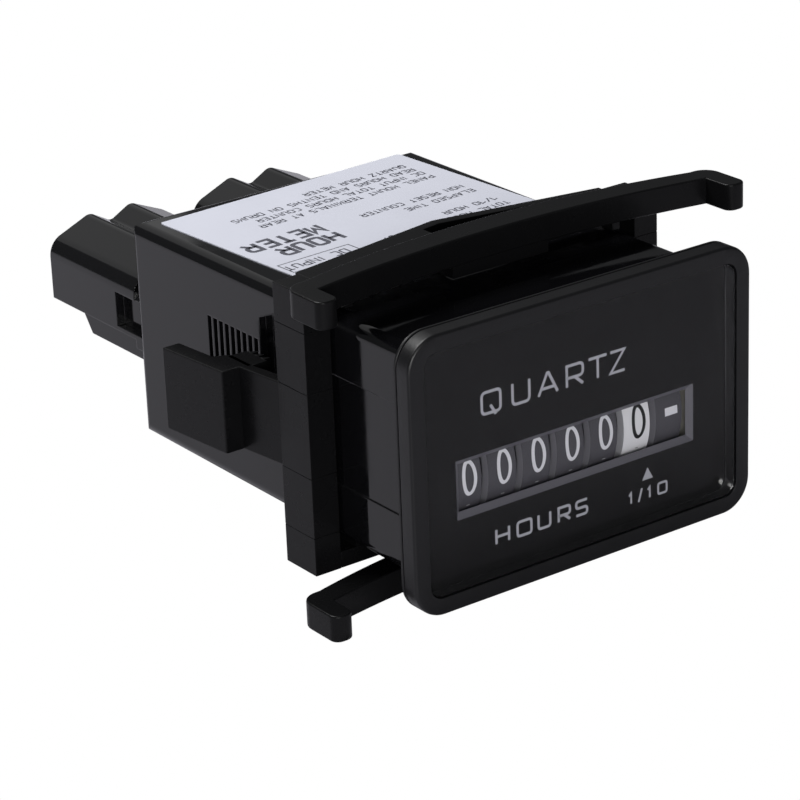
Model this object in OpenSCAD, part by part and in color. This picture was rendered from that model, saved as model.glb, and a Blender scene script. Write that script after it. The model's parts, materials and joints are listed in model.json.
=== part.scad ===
// Panel hour meter with a six-figure drum counter, a quartz drive and a clip bracket.
// The origin is the middle of the bezel's rear face, where the meter seats on its panel.
// X runs to the right seen from the front, Y runs back through the panel, Z is up.

/* [Housing] */
// Width of the housing behind the bezel
body_w = 43.3; // [42:0.1:60]
// Height of the housing behind the bezel
body_h = 27.9; // [27:0.1:40]
// Length of the housing behind the panel
body_l = 58.7; // [56:0.1:90]
// Thickness of the housing walls
wall = 1.6; // [1.2:0.1:1.9]
// Radius along the long edges of the housing
body_edge_r = 1.5; // [0.5:0.1:2.5]
// Radius along the rear edges of the housing
body_rear_r = 1.2; // [0.4:0.1:1.2]

/* [Bezel and face] */
// How far the bezel stands out past the housing at each side
overhang_x = 3.1; // [2.4:0.05:6]
// How far the bezel stands out past the housing at top and bottom
overhang_z = 2.85; // [2.3:0.05:6]
// Thickness of the bezel in front of the panel
bezel_t = 2.8; // [2.5:0.1:5]
// Corner radius of the bezel outline
bezel_r = 4; // [2.5:0.1:6]
// Width of the bezel's raised rim
rim_w = 2.1; // [1.2:0.1:2.3]
// Chamfer along the bezel's front edge
bezel_chamfer = 0.4; // [0.1:0.05:0.8]
// Corner radius of the lens
lens_r = 1.5; // [0.8:0.1:2]
// Depth of the lens below the rim
lens_inset = 0.4; // [0.1:0.05:0.6]
// Thickness of the clear lens
lens_t = 1.4; // [1:0.1:1.6]
// Thickness of the printed dial plate
dial_t = 0.6; // [0.4:0.05:0.9]
// Height of the counter window
window_h = 7.2; // [6:0.05:10]
// Width of the sloped edge round the counter window
window_slope = 0.7; // [0.2:0.05:0.9]
// How far the counter window reaches past the drum row
window_margin = 0.12; // [0.05:0.01:0.2]
// Width of the bezel's snap tabs
tab_w = 9; // [5:0.5:12]
// Distance from the middle of the bezel to its snap tabs
tab_x = 12.5; // [8:0.1:13]
// Depth of the hooks on the snap tabs
tab_hook = 0.35; // [0.2:0.05:0.4]
// Length of the hooks on the snap tabs
hook_l = 0.8; // [0.5:0.1:1.2]
// Length of the bezel's snap tabs
tab_l = 3.2; // [2:0.1:5]

/* [Counter] */
// Radius of the figure drums
drum_r = 8.6; // [8.4:0.1:8.8]
// Middle of the drum row, to the right of the housing's middle
row_x = 0; // [-0.8:0.05:0.1]
// Gap between the drums and the housing's floor
drum_room = 0.45; // [0.3:0.05:1]
// Gap between a drum's tooth ring and the next drum
rim_gap = 0.45; // [0.35:0.05:0.8]
// How far the tooth rings stay below the drums' rims
ring_step = 0.75; // [0.6:0.05:1]
// Thickness of a drum's tooth ring
ring_t = 0.6; // [0.4:0.05:0.65]
// Radius of the drum axle
axle_r = 1; // [0.8:0.05:1.4]
// Radius of the transfer pinion axle
pinion_axle_r = 0.6; // [0.4:0.05:0.8]
// Module of the reduction gears
train_module = 0.4; // [0.36:0.01:0.42]
// Thickness of the reduction gears
gear_t = 0.8; // [0.5:0.05:0.9]
// Radius of the gear arbors
arbor_r = 0.5; // [0.35:0.05:0.6]
// Thickness of the counter frame's plates
plate_t = 1.5; // [1:0.1:1.8]
// Height of the counter frame's cross bars
bar_h = 1.6; // [1:0.1:1.7]
// Depth of the counter frame's cross bars
bar_d = 5; // [3:0.1:6]

/* [Drive] */
// Thickness of the circuit board
board_t = 1.6; // [0.8:0.1:2]
// Length of the posts between the board and the rear wall
post_l = 6.1; // [4:0.1:8]
// Radius of the rotor magnet
magnet_r = 2.6; // [2:0.1:3]
// Thickness of the stator plate
stator_t = 1; // [0.6:0.1:1.4]
// Outer radius of the coil winding
coil_r = 2.8; // [2:0.1:3]
// Length of the coil winding
coil_l = 11; // [8:0.5:13]
// Gap between the coil and the counter frame's lower bar
coil_room = 0.3; // [0.2:0.05:0.4]
// Radius of the bobbin's tube
bobbin_r = 1.9; // [1.6:0.05:2]
// Radius of the quartz crystal's can
crystal_r = 1.5; // [1:0.1:1.6]
// Length of the quartz crystal's can
crystal_l = 8; // [5:0.1:9]
// Width of the driver chip
chip_w = 5; // [4:0.1:6]
// Height of the driver chip
chip_h = 4; // [3:0.1:5]
// Thickness of the driver chip
chip_t = 1.4; // [1:0.1:2]
// Radius of the capacitor
capacitor_r = 4; // [2.5:0.1:4.2]
// Length of the capacitor
capacitor_l = 11; // [6:0.1:14]
// Radius of the resistor's body
resistor_r = 1.2; // [0.8:0.05:1.4]
// Length of the resistor's body
resistor_l = 6.5; // [4:0.1:7]
// Radius of the resistor's leads
lead_r = 0.3; // [0.2:0.05:0.4]
// Length of each of the resistor's leads
lead_l = 3; // [2:0.1:3.5]

/* [Sockets] */
// Length of the two sockets behind the housing
socket_l = 23; // [16:0.1:30]
// Width of each socket
socket_w = 18.8; // [17:0.1:20]
// Height of each socket's straight side
socket_h = 7.7; // [6.4:0.1:9]
// Height of the sockets' underside from the housing's middle
socket_z = -2.5; // [-3:0.1:0]
// Gap between the two sockets
socket_gap = 3.2; // [1:0.1:5]
// Thickness of the socket walls
socket_wall = 1; // [0.7:0.05:1.3]
// Height of the sockets' ridges above their straight sides
ridge_h = 2.3; // [1.5:0.1:3]
// Radius along the tops of the ridges
ridge_r = 1.5; // [0.6:0.1:1.8]
// Slope of the ridges' outer flanks
flank_a = 23; // [15:1:30]
// Slope of the valley between the ridges
valley_a = 29; // [20:1:35]
// Radius along the sockets' outer shoulders
shoulder_r = 2.8; // [0.5:0.1:3]
// Radius along the valley between the ridges
valley_r = 1; // [0.4:0.1:2]
// Length of the lower neck where a socket meets the housing
neck_l = 2.6; // [1:0.1:4]
// How far the neck lies below the ridges
neck_drop = 1.2; // [0.5:0.1:1.4]
// Depth of the recesses in the sockets' sides
keyway_d = 1.2; // [0.5:0.1:2]
// Length of the recesses in the sockets' sides
keyway_l = 7; // [4:0.1:8]
// Height of the ledge below each socket
ledge_h = 2.8; // [2:0.1:5]
// Length of the ledge below each socket, at its foot
ledge_l = 14.7; // [10:0.1:18]
// Distance between a socket's two blade terminals
blade_pitch = 6.4; // [6:0.1:8]
// Width of a blade terminal
blade_w = 4.8; // [2.8:0.1:5]
// Thickness of a blade terminal
blade_t = 0.8; // [0.5:0.05:1]

/* [Bracket] */
// Thickness of the bracket's side walls
side_t = 3.6; // [2.5:0.1:4.5]
// Depth of the bracket's frame from front to back
frame_d = 6; // [5:0.1:9]
// Distance from the panel face to the front of the frame
frame_y = 15.8; // [14:0.1:20]
// How far the bracket's frame stands above the housing
frame_rise = 3.45; // [3:0.05:5]
// Sideways place of the bracket within its play on the housing
bracket_x = 0.5; // [-0.5:0.05:0.5]
// Thickness of the frame's top and bottom plates
frame_plate_t = 2.1; // [1.5:0.1:2.4]
// How far the plates run back at their middle
peak_d = 4.6; // [2:0.1:8]
// Height of the leaf springs
leaf_h = 3.3; // [2:0.1:5]
// Thickness of the leaf springs at their middle
leaf_t = 3.9; // [2.5:0.1:4.5]
// Distance from the panel face to the leaf's front at its middle
leaf_y = 12.1; // [11:0.1:13]
// Half length of the leaf springs
leaf_half_l = 30.9; // [28:0.1:36]
// Bow radius of the leaf's front face
leaf_front_r = 143; // [110:1:180]
// Bow radius of the leaf's rear face
leaf_rear_r = 111; // [95:1:125]
// Width of the feet at the leaf ends
foot_w = 2.9; // [2:0.1:4]
// Distance from the panel face to the tips of the feet
foot_y = 5.2; // [4.8:0.1:7]
// Half height of the release levers
lever_half_h = 5.2; // [3:0.1:6]
// Length of the levers' arms, from the frame to the thumb pads
arm_l = 6.7; // [4:0.1:9]
// Length of the thumb pads
pad_l = 11.3; // [6:0.1:13]
// How far the thumb pads stand out past the frame
pad_out = 3.2; // [2:0.1:5]
// Distance from one ratchet fin to the next
fin_pitch = 1.25; // [0.8:0.05:1.5]
// Depth of the grooves between the ratchet fins
fin_depth = 0.9; // [0.4:0.05:1]
// Distance from the panel face to the rear end of the ratchet track
fin_end = 42.1; // [36:0.1:44]
// Half height of the ratchet track
track_half_h = 6.6; // [5.5:0.1:7.5]

/* [Label] */
// Width of the label on the housing's top
label_w = 37.9; // [20:0.1:38.5]
// Length of the label
label_l = 31.2; // [20:0.1:32]
// Turn of the hand-laid label, in degrees
label_turn = 3.2; // [-3.5:0.1:3.5]
// Distance from the label's middle to the housing's rear face
label_back = 17.3; // [16.8:0.1:19]
// Distance of the label's middle from the housing's middle line
label_x = 0.7; // [-1:0.1:1]
// Thickness of the label
label_t = 0.12; // [0.08:0.01:0.2]

/* [Clearances] */
// Gap between pieces that seat in each other
seat_gap = 0.1; // [0.05:0.01:0.15]
// Gap between the lens and the bezel's rim
lens_gap = 0.2; // [0.05:0.01:0.3]
// Gap between a shaft and its bore
run_gap = 0.05; // [0.03:0.01:0.08]
// Gap between the bracket's guide ribs and the housing that it slides on
slide_gap = 0.3; // [0.2:0.01:0.4]
// Sideways play of the bracket at each side of the housing
side_gap = 0.75; // [0.7:0.01:0.9]
// Gap between the pawls and the ratchet track
pawl_gap = 0.25; // [0.15:0.01:0.4]

/* [Hidden] */
$fn = 48;

// Face stack, from the front of the bezel back to the housing's front edge
bezel_w = body_w + 2 * overhang_x;
bezel_h = body_h + 2 * overhang_z;
lens_w = bezel_w - 2 * rim_w - 2 * lens_gap;
lens_h = bezel_h - 2 * rim_w - 2 * lens_gap;
lens_y = lens_inset - bezel_t;
dial_y = lens_y + lens_t;
seat_y = dial_y + dial_t;

// Inside of the housing
in_w = body_w - 2 * wall;
in_h = body_h - 2 * wall;
in_l = body_l - wall;
tab_t = wall / 2;

// Plates of the counter frame, and the drum row between them
frame_x = in_w / 2 - seat_gap;
plate_x = frame_x - plate_t;
frame_top = in_h / 2 - seat_gap;
gear_gap = 0.2;
side_play = 0.15;
drum_pitch = (plate_x - abs(row_x) + rim_gap / 2 - gear_t - 2 * gear_gap - side_play) / 3.5;
rim_face = drum_pitch - ring_t - rim_gap;
window_w = 7 * drum_pitch + 2 * window_margin;
function drum_x(i) = row_x + (i - 3) * drum_pitch;

// Drum and gear centres, as [y, z]
axle_z = drum_r + drum_room - in_h / 2;
dial_gap = 0.3;
drum_at = [seat_y + dial_gap + drum_r, axle_z];
addendum = 0.9;
dedendum = 1.2;
ring_teeth = 20;
pinion_teeth = 8;
indicator_teeth = 12;
indicator_driver_teeth = 16;
wheel_teeth = 32;
rotor_wheel_teeth = 30;
transfer_module = (drum_r - ring_step) / (ring_teeth / 2 + addendum);
transfer_l = (ring_teeth + pinion_teeth) / 2 * transfer_module;
drive_at = drum_at + [transfer_l, 0];
second_dir = 10;
second_at = drive_at
    + (wheel_teeth + pinion_teeth) / 2 * train_module * [cos(second_dir), sin(second_dir)];
rotor_dir = 10;
rotor_at = second_at
    + (rotor_wheel_teeth + pinion_teeth) / 2 * train_module * [cos(rotor_dir), sin(rotor_dir)];
rim_left = -(rim_face + ring_t) / 2;
ring_left = rim_left + rim_face;
drum_web = 1;
drum_rim_t = 1.2;
hub_r = axle_r + 1.2;
sleeve_gap = 0.33;
sleeve_r = transfer_l - drum_r - sleeve_gap;

// Zones of the gears between the plates
zone_a = plate_x - 2 * gear_gap - gear_t;
zone_b = drum_x(6) + ring_left - 2 * gear_gap - gear_t;
inner_plate_x = zone_b - 1 - plate_t;
gear_plate_y = drive_at[0] + 3;
stator_post_r = 1.2;
stator_posts = [rotor_at + [-6.5, 4.5], rotor_at + [6, 4.5]];

// Sockets and blade terminals
socket_x = socket_gap / 2 + socket_w / 2;
socket_top = socket_z + socket_h;
ridge_x = blade_pitch / 2;
ridge_top = socket_top + ridge_h;
line_cut = 0.01;
cavity_l = 14;
blade_z = socket_z + socket_h / 2 + 0.2;
blade_end = body_l + socket_l - 3;
tail_w = 2;
tail_out = 0.8;

// Circuit board and the parts that it carries
board_y = in_l - post_l - board_t;
board_w = in_w - 2 * seat_gap;
board_h = in_h - 2 * seat_gap;
post_w = 4;
post_inset = 1;
part_gap = 0.5;
capacitor_at = [capacitor_r + 1.4 - plate_x, blade_z - tail_w / 2 - part_gap - capacitor_r];
resistor_at = [capacitor_at[0] + capacitor_r + part_gap + lead_l, resistor_r + bar_h + part_gap - frame_top];
crystal_at = [capacitor_at[0] + capacitor_r, frame_top - bar_h - 3.6];
chip_at = [crystal_at[0] + crystal_l + part_gap + chip_w / 2, crystal_at[1]];
chip_leg = [0.4, 0.7];
chip_pitch = 1.27;

// Stator and coil
stator_stand = 5.6;
stator_x = inner_plate_x - stator_stand - stator_t;
stator_hole_r = magnet_r + 0.5;
stator_edge = 0.5;
stator_leg = 2.5;
stator_up = 5.9;
core_h = 2.4;
bobbin_flange = 0.8;
bobbin_lip = 0.2;
coil_z = bar_h + coil_room + coil_r + bobbin_lip - frame_top;

// Label corners
label_r = 0.5;

// Bracket
hole_half_w = body_w / 2 + side_gap;
frame_half_w = hole_half_w + side_t;
frame_rear = frame_y + frame_d;
frame_half_h = body_h / 2 + frame_rise;
plate_in = frame_half_h - frame_plate_t;
leaf_z = frame_half_h - 0.2;
rib_t = 1.5;
neck_half_w = 7;
guide_w = 1.2;
guide_x = body_w / 2 - 2.65;
foot_r = 0.6;
heel_r = 2.2;
lever_t = 1.6;
lever_rise = 0.8;
pad_y = frame_rear + arm_l;
pad_rear_t = 2.4;
pawl_tip = body_w / 2 + pawl_gap + abs(bracket_x);
pawl_teeth = 3;
pawl_h = 0.8;
pad_flare = 1;
pad_root = 5;
fin_start = 19;
fin_groove = 0.62 * fin_pitch;
fin_count = floor((fin_end - fin_start - fin_groove) / fin_pitch) + 1;
notch_end = 30.8;
notch_z = 9.5;
notch_rise = 1.9;
mark = 0.15;

module along_x(x0, x1) {
    translate([x0, 0, 0]) rotate([90, 0, 90]) linear_extrude(x1 - x0) children();
}

module along_y(y0, y1) {
    translate([0, y1, 0]) rotate([90, 0, 0]) linear_extrude(y1 - y0) children();
}

module along_z(z0, z1) {
    translate([0, 0, z0]) linear_extrude(z1 - z0) children();
}

module round_rect(w, h, r) {
    square([w - 2 * r, h], center = true);
    square([w, h - 2 * r], center = true);
    for (sx = [-1, 1]) for (sy = [-1, 1])
        translate([sx * (w / 2 - r), sy * (h / 2 - r)]) circle(r);
}

module both_sides() {
    children();
    mirror([1, 0, 0]) children();
}

module half_turn() {
    children();
    rotate([0, 180, 0]) children();
}

module disc_at(at, r) {
    translate(at) circle(r);
}

// Straight-flanked tooth outline: half widths are shares of one tooth pitch
module gear_outline(teeth, size, turn) {
    pitch_r = teeth * size / 2;
    steps = [[pitch_r - dedendum * size, 0.2], [pitch_r, 0.2], [pitch_r + addendum * size, 0.085]];
    polygon([for (i = [0 : teeth - 1]) for (k = [0 : 5])
        let (step = steps[k < 3 ? k : 5 - k], side = k < 3 ? -1 : 1)
        let (a = turn + 360 / teeth * (i + side * step[1]))
        step[0] * [cos(a), sin(a)]]);
}

// Bezel: raised rim, stepped opening for lens and dial, four snap tabs into the housing
module bezel() {
    color("#17181a") difference() {
        union() {
            along_y(bezel_chamfer - bezel_t, 0) round_rect(bezel_w, bezel_h, bezel_r);
            bezel_front();
        }
        along_y(-bezel_t - 1, seat_y)
            round_rect(lens_w + 2 * lens_gap, lens_h + 2 * lens_gap, lens_r + lens_gap);
        along_y(seat_y - 0.1, 0.01)
            round_rect(body_w + 2 * seat_gap, body_h + 2 * seat_gap, body_edge_r + seat_gap);
    }
    color("#17181a") for (sx = [-1, 1]) half_turn() bezel_tab(sx);
}

module bezel_tab(sx) {
    top = body_h / 2;
    translate([sx * tab_x - tab_w / 2, seat_y, top - tab_t]) cube([tab_w, tab_l - seat_y, tab_t]);
    translate([sx * tab_x - tab_w / 2, seat_y, top - tab_t]) cube([tab_w, -seat_y, tab_t + 1]);
    translate([sx * tab_x - tab_w / 2, tab_l - hook_l, top - tab_t - tab_hook])
        cube([tab_w, hook_l, tab_t + tab_hook]);
}

// Chamfered front layer of the bezel: two crossed prisms and four cones
module bezel_front() {
    tip = -bezel_t;
    base = bezel_chamfer - bezel_t;
    half_w = bezel_w / 2;
    half_h = bezel_h / 2;
    along_z(bezel_r - half_h, half_h - bezel_r)
        polygon([[-half_w, base], [half_w, base],
                 [half_w - bezel_chamfer, tip], [bezel_chamfer - half_w, tip]]);
    along_x(bezel_r - half_w, half_w - bezel_r)
        polygon([[base, -half_h], [base, half_h],
                 [tip, half_h - bezel_chamfer], [tip, bezel_chamfer - half_h]]);
    for (sx = [-1, 1]) for (sz = [-1, 1])
        translate([sx * (half_w - bezel_r), base, sz * (half_h - bezel_r)]) rotate([90, 0, 0])
            cylinder(h = bezel_chamfer, r1 = bezel_r, r2 = bezel_r - bezel_chamfer);
}

// Lens: a clear plate with a block that fills the dial's window
module lens() {
    color("#dfe6ea", 0.35) {
        along_y(lens_y, dial_y) round_rect(lens_w, lens_h, lens_r);
        window_form(dial_y - seat_gap, seat_y - seat_gap, seat_gap);
    }
}

// Frustum that fills the counter window, as the overlap of two prisms
module window_form(y0, y1, shrink) {
    slope = window_slope / dial_t;
    function half(size, y) = size / 2 - slope * (y - dial_y) - shrink;
    translate([row_x, 0, axle_z]) intersection() {
        along_z(-body_h, body_h)
            polygon([[-half(window_w, y0), y0], [half(window_w, y0), y0],
                     [half(window_w, y1), y1], [-half(window_w, y1), y1]]);
        along_x(-body_w, body_w)
            polygon([[y0, -half(window_h, y0)], [y1, -half(window_h, y1)],
                     [y1, half(window_h, y1)], [y0, half(window_h, y0)]]);
    }
}

module dial_plate() {
    color("#101113") difference() {
        along_y(dial_y, seat_y) round_rect(lens_w, lens_h, lens_r);
        window_form(dial_y - seat_gap, seat_y + seat_gap, 0);
    }
}

// Housing: a moulded box, open at the front, with ratchet tracks and two rear sockets
module housing() {
    color("#1b1c1e") difference() {
        union() {
            housing_block();
            for (sx = [-1, 1]) translate([sx * socket_x, 0, 0]) socket_block();
        }
        along_y(seat_y - 1, in_l) square([in_w, in_h], center = true);
        both_sides() ratchet_track();
        half_turn() stop_notch();
        for (sx = [-1, 1]) half_turn() tab_recess(sx);
        for (sx = [-1, 1]) translate([sx * socket_x, 0, 0]) socket_cavity();
        for (sx = [-1, 1]) for (sb = [-1, 1])
            translate([sx * socket_x + sb * blade_pitch / 2, 0, blade_z])
                blade_slot();
    }
    color("#1b1c1e") for (sx = [-1, 1]) for (sz = [-1, 1])
        translate([sx * (in_w / 2 - post_inset - post_w / 2), 0, sz * (in_h / 2 - post_inset - post_w / 2)])
            along_y(board_y + board_t, in_l) round_rect(post_w, post_w, 1);
}

// Outside of the housing: long edges and rear edges are rounded
module housing_block() {
    intersection() {
        along_y(seat_y, body_l) round_rect(body_w, body_h, body_edge_r);
        along_x(-body_w, body_w) rear_rounded(body_h / 2);
        along_z(-body_h, body_h) rotate(90) rear_rounded(body_w / 2);
    }
}

// Outline from the housing's front edge to its rear face, with two round rear corners
module rear_rounded(half) {
    flat_l = body_l - body_rear_r - seat_y;
    translate([seat_y, -half]) square([flat_l, 2 * half]);
    translate([seat_y, body_rear_r - half]) square([flat_l + body_rear_r, 2 * (half - body_rear_r)]);
    for (side = [-1, 1]) translate([body_l - body_rear_r, side * (half - body_rear_r)]) circle(body_rear_r);
}

module tab_recess(sx) {
    top = body_h / 2;
    translate([sx * tab_x - tab_w / 2 - seat_gap, seat_y - 1, top - tab_t - seat_gap])
        cube([tab_w + 2 * seat_gap, tab_l - seat_y + 1 + seat_gap, tab_t + 1]);
    translate([sx * tab_x - tab_w / 2 - seat_gap, tab_l - hook_l - seat_gap,
               top - tab_t - tab_hook - seat_gap])
        cube([tab_w + 2 * seat_gap, hook_l + 2 * seat_gap, tab_t + 1]);
}

module ratchet_track() {
    side = body_w / 2;
    translate([side - mark, seat_y - 1, -track_half_h - mark])
        cube([1, fin_start - seat_y + 1, 2 * (track_half_h + mark)]);
    for (i = [0 : fin_count - 1])
        translate([side - fin_depth, fin_end - fin_groove - i * fin_pitch, -track_half_h])
            cube([1 + fin_depth, fin_groove, 2 * track_half_h]);
}

// Recess beside the track, open towards the front, that lets the bracket's wall clear the housing
module stop_notch() {
    slope_l = 4.8;
    along_x(-body_w / 2 - 1, fin_depth - body_w / 2)
        polygon([[fin_start, -track_half_h], [notch_end, -track_half_h], [notch_end, notch_z],
                 [notch_end - slope_l, notch_z + notch_rise], [fin_start, notch_z + notch_rise]]);
}

// Socket: a box with two rounded ridges over its blades and a shorter ledge below
module socket_block() {
    end = body_l + socket_l;
    ledge_half_w = socket_w / 2 - 0.7;
    along_y(body_l + neck_l, end) wave_outline();
    along_y(body_l - 0.1, body_l + neck_l + 0.1) translate([0, -neck_drop]) wave_outline();
    along_x(-ledge_half_w, ledge_half_w)
        polygon([[body_l - 0.1, socket_z + 0.5], [body_l - 0.1, socket_z - ledge_h],
                 [body_l + ledge_l, socket_z - ledge_h], [body_l + ledge_l + 0.9 * ledge_h, socket_z + 0.5]]);
}

// End view of a socket: round shoulders and two ridges, joined by lines that just cut into the arcs
module wave_outline() {
    shoulder_x = socket_w / 2 - shoulder_r;
    ridge_z = ridge_top - ridge_r;
    flank = [sin(flank_a), cos(flank_a)];
    valley = [sin(valley_a), cos(valley_a)];
    ridge_in = ridge_r - line_cut;
    shoulder_in = shoulder_r - line_cut;
    valley_in = valley_r - line_cut;
    flank_top = [ridge_x, ridge_z] + ridge_in * flank;
    shoulder_z = flank_top[1] - tan(flank_a) * (shoulder_x + shoulder_in * flank[0] - flank_top[0])
        - shoulder_in * flank[1];
    valley_top = [ridge_x - ridge_in * valley[0], ridge_z + ridge_in * valley[1]];
    valley_z = valley_top[1] - tan(valley_a) * valley_top[0] + valley_in / valley[1];
    valley_end = [valley_in * valley[0], valley_z - valley_in * valley[1]];
    difference() {
        both_sides() {
            translate([shoulder_x, shoulder_z]) circle(shoulder_r);
            translate([ridge_x, ridge_z]) circle(ridge_r);
            polygon([[0, socket_z], [socket_w / 2, socket_z], [socket_w / 2, shoulder_z],
                     [shoulder_x, shoulder_z] + shoulder_in * flank, flank_top, [ridge_x, ridge_z],
                     valley_top, valley_end, [0, valley_end[1]]]);
        }
        translate([0, valley_z]) circle(valley_r);
    }
}

module socket_cavity() {
    end = body_l + socket_l;
    inner_h = socket_h - 2 * socket_wall;
    groove_r = ridge_x - socket_wall;
    along_y(end - cavity_l, end + 1) {
        translate([0, socket_z + socket_h / 2])
            square([socket_w - 2 * socket_wall, inner_h], center = true);
        for (sb = [-1, 1])
            translate([sb * ridge_x, ridge_top - socket_wall - groove_r]) circle(groove_r);
    }
    both_sides() translate([socket_w / 2 - keyway_d, body_l + seat_gap, socket_z + keyway_d / 2])
        cube([keyway_d + 1, keyway_l, 0.6 * socket_h]);
}

module blade_slot() {
    along_y(in_l - 1, body_l + socket_l - cavity_l + 1)
        square([blade_t + 2 * seat_gap, blade_w + 2 * seat_gap], center = true);
}

module label() {
    color("#e4e6ee") translate([label_x, body_l - label_back, body_h / 2]) rotate([0, 0, label_turn])
        along_z(0, label_t) round_rect(label_w, label_l, label_r);
}

// Bracket: a frame that slides on the housing, two bowed leaf springs with feet,
// and two release levers with pawls
module mounting_bracket() {
    color("#141517") translate([bracket_x, 0, 0]) difference() {
        union() {
            along_y(frame_y, frame_rear) difference() {
                round_rect(2 * frame_half_w, 2 * frame_half_h, 0.8);
                square([2 * hole_half_w, 2 * plate_in], center = true);
            }
            half_turn() {
                along_z(plate_in, frame_half_h) peaked_plate();
                along_z(leaf_z, leaf_z + leaf_h) leaf_outline();
                along_z(plate_in, leaf_z + 0.1) intersection() {
                    leaf_body();
                    square([2 * neck_half_w, 100], center = true);
                }
                along_z(plate_in, frame_half_h) neck_outline();
                both_sides() guide_rib();
            }
            both_sides() along_z(-lever_half_h, lever_half_h) lever_outline();
        }
        half_turn() both_sides() side_mark();
    }
}

// Plan of the top plate: its rear edge peaks at the middle, and one half is slotted
module peaked_plate() {
    slope = peak_d / frame_half_w;
    slot_l = -2.6;
    slot_r = hole_half_w - 3;
    front = frame_y + 3.2;
    function rear(x) = frame_rear + peak_d - slope * abs(x);
    difference() {
        polygon([[-frame_half_w, frame_y], [frame_half_w, frame_y], [frame_half_w, frame_rear],
                 [0, rear(0)], [-frame_half_w, frame_rear]]);
        polygon([[slot_l, front], [slot_r, front], [slot_r, rear(slot_r) - rib_t],
                 [0, rear(0) - rib_t], [slot_l, rear(slot_l) - rib_t]]);
    }
}

module neck_outline() {
    translate([-neck_half_w, leaf_y + leaf_t / 2])
        square([2 * neck_half_w, frame_y - leaf_y - leaf_t / 2 + 0.1]);
}

// Plan of the leaf's bowed body, between two arcs
module leaf_body() {
    difference() {
        translate([0, leaf_y + leaf_t - leaf_rear_r]) circle(leaf_rear_r, $fn = 180);
        translate([0, leaf_y - leaf_front_r]) circle(leaf_front_r, $fn = 180);
    }
}

module leaf_outline() {
    inner = leaf_half_l - foot_w;
    heel_y = leaf_y + leaf_t - inner * inner / (2 * leaf_rear_r);
    intersection() {
        leaf_body();
        translate([-inner - 0.3, 0]) square([2 * inner + 0.6, 60]);
    }
    both_sides() {
        for (x = [inner + foot_r, leaf_half_l - foot_r])
            translate([x, foot_y + foot_r]) circle(foot_r);
        translate([inner + foot_r, foot_y]) square([foot_w - 2 * foot_r, foot_r]);
        translate([inner, foot_y + foot_r]) square([foot_w, heel_y - heel_r - foot_y - foot_r]);
        intersection() {
            translate([leaf_half_l - heel_r, heel_y - heel_r]) circle(heel_r);
            translate([inner, heel_y - heel_r]) square([foot_w, heel_r]);
        }
        translate([inner, heel_y - heel_r]) square([foot_w - heel_r, heel_r]);
    }
}

module guide_rib() {
    translate([guide_x, frame_y, body_h / 2 + slide_gap])
        cube([guide_w, frame_d, plate_in - body_h / 2 - slide_gap + 0.1]);
}

// Plan of a release lever: flared arm, thumb pad and pawl teeth
module lever_outline() {
    outer = frame_half_w;
    knee = outer + lever_rise;
    pad_end = pad_y + pad_l;
    root_in = outer - side_t / 2;
    pad_tip = outer + pad_out + pad_flare;
    polygon([[root_in, frame_rear - 0.5], [outer, frame_rear - 0.5], [outer, frame_rear],
             [knee, pad_y], [outer + pad_out, pad_y], [pad_tip, pad_end],
             [pad_tip - pad_rear_t, pad_end], [knee + 0.4, pad_y + pad_root],
             [knee - lever_t, pad_y + pad_root - 1], [knee - lever_t, pad_y - 1], [root_in, frame_rear]]);
    translate([pawl_tip + pawl_h, pad_y - 0.6])
        square([knee - pawl_tip - lever_t / 2 - pawl_h, pawl_teeth * fin_pitch + 0.6]);
    for (i = [0 : pawl_teeth - 1]) translate([pawl_tip, pad_y + i * fin_pitch])
        polygon([[0, 0], [0, fin_pitch * 0.2], [pawl_h + 0.1, fin_pitch * 0.8], [pawl_h + 0.1, 0]]);
}

// Fine lines across the side walls, where the lever and the corners meet the wall
module side_mark() {
    for (z = [lever_half_h, body_h / 2 - 1.3])
        translate([frame_half_w - mark, frame_y - 1, z])
            cube([1, frame_d + 2, mark]);
}

// Counter frame: two side plates, an inner gear plate and two cross bars in one moulding
module counter_frame() {
    color("#d9d6cc") difference() {
        union() {
            for (x0 = [-frame_x, plate_x]) along_x(x0, x0 + plate_t) frame_plate();
            along_x(inner_plate_x, inner_plate_x + plate_t) gear_plate();
            translate([-frame_x, gear_plate_y - 1, frame_top - bar_h]) cube([2 * frame_x, bar_d, bar_h]);
            translate([-frame_x, board_y - bar_d, -frame_top]) cube([2 * frame_x, bar_d, bar_h]);
            for (at = stator_posts) along_x(stator_x + stator_t, inner_plate_x + 0.1)
                disc_at(at, stator_post_r);
        }
        along_x(-in_w, in_w) disc_at(drum_at, axle_r + run_gap);
        along_x(-in_w, in_w) disc_at(drive_at, pinion_axle_r + run_gap);
        for (at = [second_at, rotor_at]) along_x(0, in_w) disc_at(at, arbor_r + run_gap);
    }
}

// A plate's outline in side view, with a lightening opening behind the gears
module frame_plate() {
    open_y = rotor_at[0] + 3;
    band = 2 * bar_h;
    difference() {
        translate([seat_y, -frame_top]) square([board_y - seat_y, 2 * frame_top]);
        translate([open_y, band - frame_top]) square([board_y - bar_d - open_y, 2 * (frame_top - band)]);
    }
}

module gear_plate() {
    rear = board_y - tail_out - seat_gap;
    translate([gear_plate_y, -frame_top]) square([rear - gear_plate_y, 2 * frame_top]);
}

module drum_axle() {
    color("#b9bcc0") along_x(-frame_x, frame_x) disc_at(drum_at, axle_r);
}

module pinion_axle() {
    color("#b9bcc0") along_x(-frame_x, frame_x) disc_at(drive_at, pinion_axle_r);
}

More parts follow.
